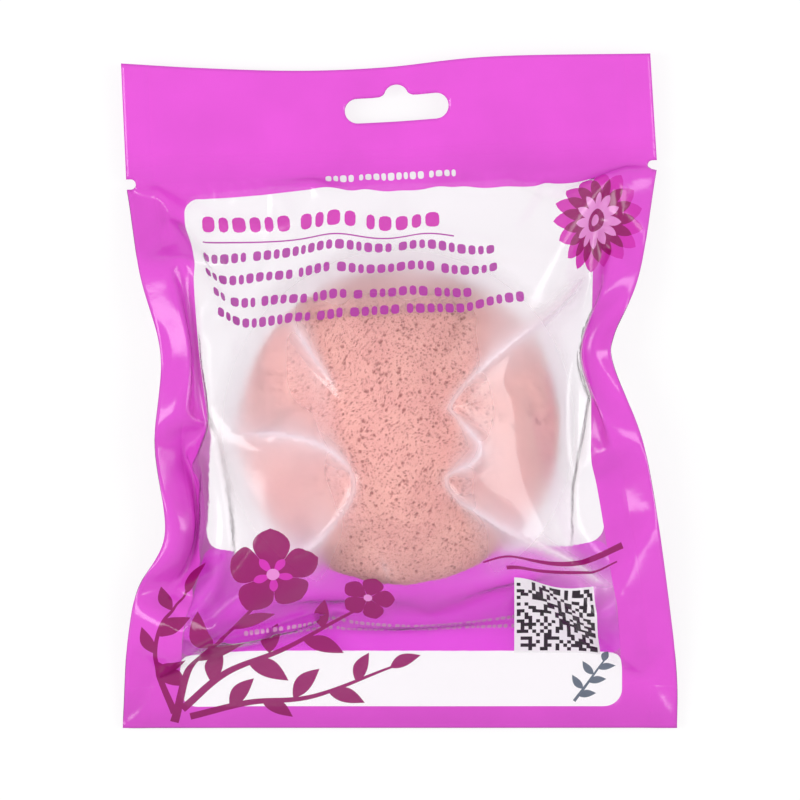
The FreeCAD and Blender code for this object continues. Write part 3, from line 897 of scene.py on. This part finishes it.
def sponge_piece():
    """The sponge's mesh, with its pores, its slight lumps and its flat base."""
    rng = np.random.default_rng(3)
    side = np.linspace(-1, 1, DOME_CELLS + 1)
    a, b = np.meshgrid(side, side)
    reach = np.maximum(np.abs(a), np.abs(b))
    wide = np.abs(a) >= np.abs(b)
    with np.errstate(divide="ignore", invalid="ignore"):
        angle = np.where(wide, np.pi / 4 * b / a, np.pi / 2 - np.pi / 4 * a / b)
    angle = np.where(np.where(wide, a, b) < 0, angle + np.pi, angle)
    angle = np.nan_to_num(angle)
    path_r, path_z = dome_path(PATH_POINTS)
    shares = np.linspace(0, 1, PATH_POINTS)
    r = np.interp(reach, shares, path_r)
    z = np.interp(reach, shares, path_z)
    top = np.stack([r * np.cos(angle), r * np.sin(angle), z], -1)
    n = DOME_CELLS + 1
    index = np.arange(n * n).reshape(n, n)
    squares = np.stack([index[:-1, :-1], index[:-1, 1:], index[1:, 1:], index[1:, :-1]], -1)
    faces = squares.reshape(-1, 4).tolist()
    loop = np.concatenate([index[0, :-1], index[:-1, -1], index[-1, :0:-1], index[:0:-1, 0]])
    points = [top.reshape(-1, 3)]
    edge_r = SPONGE_RADIUS - SPONGE_EDGE
    rings = arc((edge_r, SPONGE_BASE + SPONGE_EDGE), SPONGE_EDGE, -15, -90, 6).tolist()
    for share in np.linspace(1, 0, BASE_RINGS + 1)[1:-1]:
        rings.append((edge_r * share, SPONGE_BASE))
    around = np.arctan2(top.reshape(-1, 3)[loop, 1], top.reshape(-1, 3)[loop, 0])
    previous = loop
    total = n * n
    for ring_r, ring_z in rings:
        ring = np.stack([ring_r * np.cos(around), ring_r * np.sin(around), np.full(len(loop), ring_z)], -1)
        here = np.arange(total, total + len(loop))
        points.append(ring)
        faces += np.stack([previous, here, np.roll(here, -1), np.roll(previous, -1)], -1).tolist()
        previous = here
        total += len(loop)
    points.append(np.array([[0.0, 0.0, SPONGE_BASE]]))
    faces += [(int(p), total, int(q)) for p, q in zip(previous, np.roll(previous, -1))]
    points = np.vstack(points)

    centre = np.array([0.0, 0.0, SPONGE_BASE + 0.3 * SPONGE_HEIGHT])
    outward = points - centre
    outward /= norm(outward, axis=1, keepdims=True)
    skin = points.copy()
    pores = skin[rng.choice(n * n, PORE_COUNT, replace=False)]
    size = PORE_SMALL + (PORE_LARGE - PORE_SMALL) * rng.random(PORE_COUNT) ** 6
    tree = KDTree(PORE_COUNT)
    for k, pore in enumerate(pores):
        tree.insert(pore, k)
    tree.balance()
    dent = np.zeros(len(points))
    for k, point in enumerate(skin):
        for _, pore, away in tree.find_n(point, 2):
            depth = max(0.0, 1.0 - (away / size[pore]) ** 2)
            dent[k] = max(dent[k], size[pore] * depth ** 1.5)
    lumps = np.zeros(len(points))
    for _ in range(LUMP_COUNT):
        wave = rng.normal(size=3)
        wave *= 2 * np.pi / rng.uniform(LUMP_SHORT, LUMP_LONG) / norm(wave)
        lumps += np.sin(skin @ wave + rng.uniform(0, 2 * np.pi))
    lumps *= LUMP_HEIGHT
    base = np.clip((points[:, 2] - SPONGE_BASE) / BASE_FADE, BASE_SHARE, 1.0)
    inset = (PORE_DEPTH * dent + SKIN_INSET) * base - np.clip(lumps, -LUMP_MOST, LUMP_MOST) * base
    points -= outward * inset[:, None]
    points[:, 2] = np.maximum(points[:, 2], SPONGE_BASE)
    points += [SPONGE_CENTRE[0], SPONGE_CENTRE[1], 0.0]
    mesh = new_mesh("sponge", points, faces)
    add_values(mesh, "pit", "POINT", dent)
    mesh.update()
    return placed(mesh)


sponge = sponge_piece()


# Materials


class Nodes:
    """Short-hand for building a material's node tree."""

    def __init__(self, name):
        self.material = bpy.data.materials.new(name)
        self.material.use_nodes = True
        self.tree = self.material.node_tree
        self.tree.nodes.clear()
        self.output = self.tree.nodes.new("ShaderNodeOutputMaterial")

    def add(self, kind, inputs=None, **settings):
        node = self.tree.nodes.new("ShaderNode" + kind)
        for key, value in settings.items():
            setattr(node, key, value)
        for key, value in (inputs or {}).items():
            if isinstance(value, bpy.types.NodeSocket):
                self.tree.links.new(value, node.inputs[key])
            else:
                node.inputs[key].default_value = value
        return node

    def out(self, kind, inputs):
        return self.add(kind, inputs).outputs[0]

    def noise(self, place, scale, detail, rough=0.5):
        return self.out("TexNoise", {"Vector": place, "Scale": scale, "Detail": detail, "Roughness": rough})

    def math(self, operation, first, second=0.0):
        return self.add("Math", {0: first, 1: second}, operation=operation).outputs[0]

    def mix(self, share, first, second):
        return self.out("MixShader", {0: share, 1: first, 2: second})

    def span(self, value, low, high, start, end):
        return self.out("MapRange", {0: value, 1: low, 2: high, 3: start, 4: end})

    def blend(self, share, first, second, mode="MIX"):
        node = self.add("Mix", {0: share, 6: first, 7: second}, data_type="RGBA", blend_type=mode)
        return node.outputs[2]

    def attribute(self, name):
        return self.add("Attribute", attribute_name=name)

    def finish(self, shader):
        self.tree.links.new(shader, self.output.inputs["Surface"])
        return self.material


FILM_IOR = 1.45
FROST_ROUGHNESS = 0.5
# Heights of the film's ripples, and half width and depth of the pressed lines, two of them on the header
RIPPLE = 0.16
FINE_RIPPLE = 0.012
LINE_HALF = 0.45
LINE_DEPTH = 0.05
LINE_APART = 2.4
HAZE = colour(252, 244, 251)
# Ink's brightness at the bottom edge and in the body, and what the header adds over a short fade: painted
# shade towards the bottom edge and painted light on the header
BOTTOM_PAINTED_SHADE = 0.74
BODY_TONE = 0.87
HEADER_PAINTED_LIGHT = 0.08
HEADER_FADE = 8.0
# Share of the light that ink lets through, in its own tint, to what lies under it
TINT_SHARE = 0.35
NOTHING = (0.0, 0.0, 0.0, 1.0)


def film_bump(nodes, strength):
    """Fine ripple of soft film, with the pressed lines that bound the seals."""
    flat = nodes.add("UVMap", uv_map="flat").outputs[0]
    ripple = nodes.noise(flat, 34.0, 3.0, 0.55)
    fine = nodes.noise(flat, 210.0, 2.0)
    place = nodes.add("SeparateXYZ", {0: flat})
    u = nodes.math("ABSOLUTE", place.outputs[0])
    pressed = None
    v = place.outputs[1]
    side = FILM_WIDTH / 2 - SIDE_SEAL
    header = FILM_LENGTH - HEADER_SEAL
    for value, spot in ((u, side), (v, header), (v, header + LINE_APART), (v, BOTTOM_SEAL)):
        away = nodes.math("ABSOLUTE", nodes.math("SUBTRACT", value, spot / FILM_LENGTH))
        line = nodes.span(away, 0.0, LINE_HALF / FILM_LENGTH, 1.0, 0.0)
        pressed = line if pressed is None else nodes.math("MAXIMUM", pressed, line)
    height = nodes.math("ADD", nodes.math("MULTIPLY", ripple, RIPPLE),
                        nodes.math("MULTIPLY", fine, FINE_RIPPLE))
    height = nodes.math("SUBTRACT", height, nodes.math("MULTIPLY", pressed, LINE_DEPTH))
    return nodes.out("Bump", {"Strength": strength, "Distance": MM, "Height": height})


def film_shader(name, printed):
    """Soft clear film, hazy and glossy, with ink on its printed side that passes a share of the light."""
    nodes = Nodes(name)
    bump = film_bump(nodes, 0.5)
    shadow_ray = nodes.add("LightPath").outputs["Is Shadow Ray"]
    frost = nodes.math("MULTIPLY", nodes.attribute("frost").outputs["Fac"], FROST_ROUGHNESS)
    see = nodes.out("BsdfRefraction", {"Color": (1.0, 0.99, 1.0, 1.0), "Roughness": frost, "IOR": FILM_IOR,
                                       "Normal": bump})
    milk_and_glare = nodes.out("BsdfTranslucent", {"Color": HAZE})
    milk_face = nodes.out("BsdfDiffuse", {"Color": HAZE, "Normal": bump})
    haze = nodes.mix(0.5, milk_and_glare, milk_face)
    # The milk share also carries the painted highlight along creases and the painted glare beside them
    clear = nodes.mix(nodes.attribute("milk_and_glare").outputs["Fac"], see, haze)
    light_through = nodes.out("BsdfTransparent", {"Color": (0.985, 0.975, 0.985, 1.0)})
    surface = clear
    if printed:
        ink_data = nodes.attribute("ink")
        ink = ink_data.outputs["Color"]
        cover = nodes.attribute("cover").outputs["Fac"]
        flat = nodes.add("UVMap", uv_map="flat").outputs[0]
        cloud = nodes.noise(flat, 9.0, 4.0)
        grain = nodes.noise(flat, 900.0, 2.0)
        cloud_tone = nodes.span(cloud, 0.3, 0.7, 0.95, 1.03)
        grain_tone = nodes.span(grain, 0.3, 0.7, -0.02, 0.02)
        height = nodes.add("SeparateXYZ", {0: flat}).outputs[1]
        tear = TEAR_V / FILM_LENGTH
        # Painted shade darkens the ink towards the bottom edge and painted light brightens the header, on top
        # of the ink's random tone
        painted_bottom_shade = nodes.span(height, 0.0, BOTTOM_SEAL / FILM_LENGTH, BOTTOM_PAINTED_SHADE, BODY_TONE)
        painted_header_light = nodes.span(height, tear, tear + HEADER_FADE / FILM_LENGTH, 0.0, HEADER_PAINTED_LIGHT)
        tone_with_painted_shade_and_light = nodes.math("MULTIPLY", nodes.math("ADD", cloud_tone, grain_tone),
                          nodes.math("ADD", painted_bottom_shade, painted_header_light))
        grey = nodes.out("CombineColor", {0: tone_with_painted_shade_and_light, 1: tone_with_painted_shade_and_light, 2: tone_with_painted_shade_and_light})
        shaded = nodes.blend(1.0, ink, grey, "MULTIPLY")
        back_lit = nodes.out("BsdfTranslucent", {"Color": shaded})
        face = nodes.out("BsdfPrincipled", {"Base Color": shaded, "Roughness": 0.34, "Normal": bump,
                                            "Specular IOR Level": 0.0})
        inked = nodes.mix(ink_data.outputs["Alpha"], face, back_lit)
        body = nodes.mix(cover, clear, inked)
        tint = nodes.blend(TINT_SHARE, NOTHING, shaded)
        tinted = nodes.out("BsdfTransparent", {"Color": tint})
        light_through = nodes.mix(cover, light_through, tinted)
        gloss = nodes.out("BsdfGlossy", {"Roughness": 0.15, "Normal": bump})
        fresnel = nodes.out("Fresnel", {"IOR": 1.5, "Normal": bump})
        surface = nodes.mix(fresnel, body, gloss)
    return nodes.finish(nodes.mix(shadow_ray, surface, light_through))


def sponge_shader():
    """Porous pink konjac foam: walls, and pits of several sizes darkened with painted shade."""
    nodes = Nodes("konjac_foam")
    place = nodes.add("TexCoord").outputs["Object"]
    cloud = nodes.noise(place, 90.0, 4.0)
    fine = nodes.out("TexVoronoi", {"Vector": place, "Scale": 1900.0})
    coarse = nodes.out("TexVoronoi", {"Vector": place, "Scale": 900.0})
    speck = nodes.noise(place, 1600.0, 3.0)
    pit = nodes.attribute("pit").outputs["Fac"]
    wall = colour(222, 166, 156)
    pore_shade = colour(154, 93, 89)
    low = colour(215, 155, 148)
    body = nodes.blend(nodes.span(cloud, 0.35, 0.65, 0.0, 1.0), wall, low)
    # Pits of several sizes darkened towards a deeper pink as painted shade; the same mask also sinks the bump
    small = nodes.span(fine, 0.0, 0.3, 1.0, 0.0)
    medium = nodes.span(coarse, 0.05, 0.28, 0.85, 0.0)
    pit_shade = nodes.span(pit, 0.02, 0.3, 0.0, 0.85)
    pore_depth_and_shade = nodes.math("MAXIMUM", nodes.math("MAXIMUM", nodes.math("MULTIPLY", small, 0.6), medium), pit_shade)
    body = nodes.blend(pore_depth_and_shade, body, pore_shade)
    body = nodes.blend(nodes.span(speck, 0.5, 0.75, 0.0, 0.35), body, colour(230, 182, 172))
    height = nodes.math("SUBTRACT", nodes.math("MULTIPLY", speck, 0.3), pore_depth_and_shade)
    bump = nodes.out("Bump", {"Strength": 0.6, "Distance": 0.4 * MM, "Height": height})
    face = nodes.out("BsdfPrincipled", {"Base Color": body, "Roughness": 0.85, "Specular IOR Level": 0.2,
                                        "Normal": bump})
    return nodes.finish(face)


printed_film = film_shader("printed_film", True)
plain_film = film_shader("plain_film", False)
for web in (front_web, back_web):
    web.data.materials.append(printed_film)
    web.data.materials.append(plain_film)
sponge.data.materials.append(sponge_shader())

# What each piece rides on and stands for

for web in (front_web, back_web):
    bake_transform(web)
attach(sponge, "sponge")
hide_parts("front_film", "left_side_seal", "right_side_seal", "bottom_seal", "tear_off_header")
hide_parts("back_film")
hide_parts("konjac_sponge")

# Floor, light and camera

SCENE.view_settings.view_transform = "Standard"

# How white the floor looks as it is, and through the film
FLOOR_WHITE = 0.8
FLOOR_THROUGH_FILM = 0.95
WORLD_STRENGTH = 0.8


def floor_material():
    """Pale floor that looks white and keeps the object's shadow."""
    nodes = Nodes("floor")
    path = nodes.add("LightPath")
    seen = nodes.math("MAXIMUM", path.outputs["Is Camera Ray"], path.outputs["Is Glossy Ray"])
    through = path.outputs["Is Transmission Ray"]
    white = nodes.math("MAXIMUM", nodes.math("MULTIPLY", seen, FLOOR_WHITE),
                       nodes.math("MULTIPLY", through, FLOOR_THROUGH_FILM))
    matt = nodes.out("BsdfDiffuse", {"Color": (0.93, 0.93, 0.93, 1.0)})
    glow = nodes.out("Emission", {"Color": (1.0, 1.0, 1.0, 1.0), "Strength": 1.0})
    return nodes.finish(nodes.mix(white, matt, glow))


FLOOR_HALF = 2.5
floor_mesh = bpy.data.meshes.new("floor")
corners = [(x * FLOOR_HALF, y * FLOOR_HALF, 0.0) for x, y in ((-1, -1), (1, -1), (1, 1), (-1, 1))]
floor_mesh.from_pydata(corners, [], [(0, 1, 2, 3)])
floor = placed(floor_mesh)
floor.data.materials.append(floor_material())

world = bpy.data.worlds.new("studio")
world.use_nodes = True
backdrop = world.node_tree.nodes["Background"].inputs
backdrop["Color"].default_value = (1.0, 1.0, 1.0, 1.0)
backdrop["Strength"].default_value = WORLD_STRENGTH
SCENE.world = world


def softbox(name, place, width, height, power):
    """Area lamp that faces the object."""
    lamp = bpy.data.lights.new(name, "AREA")
    lamp.shape = "RECTANGLE"
    lamp.size = width
    lamp.size_y = height
    lamp.energy = power
    lamp_object = placed(lamp)
    lamp_object.location = place
    aim = Vector((0.0, 0.0, 0.0)) - Vector(place)
    lamp_object.rotation_euler = aim.to_track_quat("-Z", "Y").to_euler()


softbox("left_softbox", (-0.78, -0.04, 0.72), 0.3, 0.7, 4.4)
softbox("right_softbox", (0.78, -0.02, 0.72), 0.3, 0.7, 3.4)

camera_data = bpy.data.cameras.new("camera")
CAMERA_DISTANCE = 1.2
VIEW_WIDTH = 0.2
VIEW_LEVEL = 0.01
camera_data.lens = camera_data.sensor_width * (CAMERA_DISTANCE - VIEW_LEVEL) / VIEW_WIDTH
camera = placed(camera_data)
camera.location = (0.000125, -0.00225, CAMERA_DISTANCE)
SCENE.camera = camera

bpy.context.view_layer.update()
